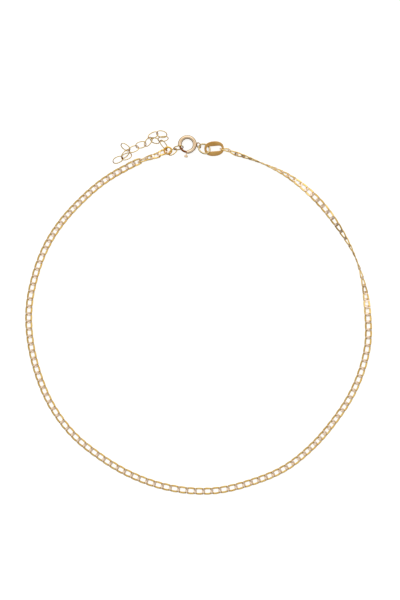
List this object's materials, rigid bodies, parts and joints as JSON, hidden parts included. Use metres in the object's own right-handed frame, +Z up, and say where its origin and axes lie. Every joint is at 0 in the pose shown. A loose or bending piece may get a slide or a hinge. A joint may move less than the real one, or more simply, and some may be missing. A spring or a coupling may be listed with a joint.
{
  "type": "chain anklet",
  "caption": "Fine flat curb chain anklet, a closed loop lying flat, with an oval slotted tag, a spring ring clasp and a short dangling cable chain extension.",
  "frame": {"origin": "on the surface it lies on, under the middle of its bounding box", "axes": "+Z up out of the loop's plane, +Y from the loop's middle towards the clasp, +X towards the tag's side of the clasp"},
  "size_m": [0.0849, 0.0891, 0.0021],
  "materials": {
    "chain_gold": "polished yellow gold curb links, soldered and flattened",
    "tag_gold": "polished rich yellow gold plate with softened edges",
    "ring_gold": "polished rich yellow gold drawn wire",
    "clasp_gold": "bright polished yellow gold tube",
    "gate_gold": "polished yellow gold wire",
    "fine_gold": "bright polished pale yellow gold wire"
  },
  "bodies": {
    "anklet": {"curb_chain": "chain_gold", "tag_end_links": "chain_gold", "ring_end_links": "chain_gold", "tag": "tag_gold", "clasp_jump_ring": "ring_gold", "spring_ring": "clasp_gold", "hook_links": "fine_gold", "end_jump_ring": "ring_gold", "extension_1": "fine_gold", "extension_2": "fine_gold", "extension_3": "fine_gold", "extension_4": "fine_gold"},
    "gate": {"gate": "gate_gold"}
  },
  "joints": [
    {"name": "gate_slide", "type": "hinge", "parent": "anklet", "child": "gate", "pos_m": [-0.00249, 0.04077, 0.00056], "axis": [0, 0, 1], "range_deg": [0, 50], "stiffness_Nm_per_rad": 0.003}
  ]
}
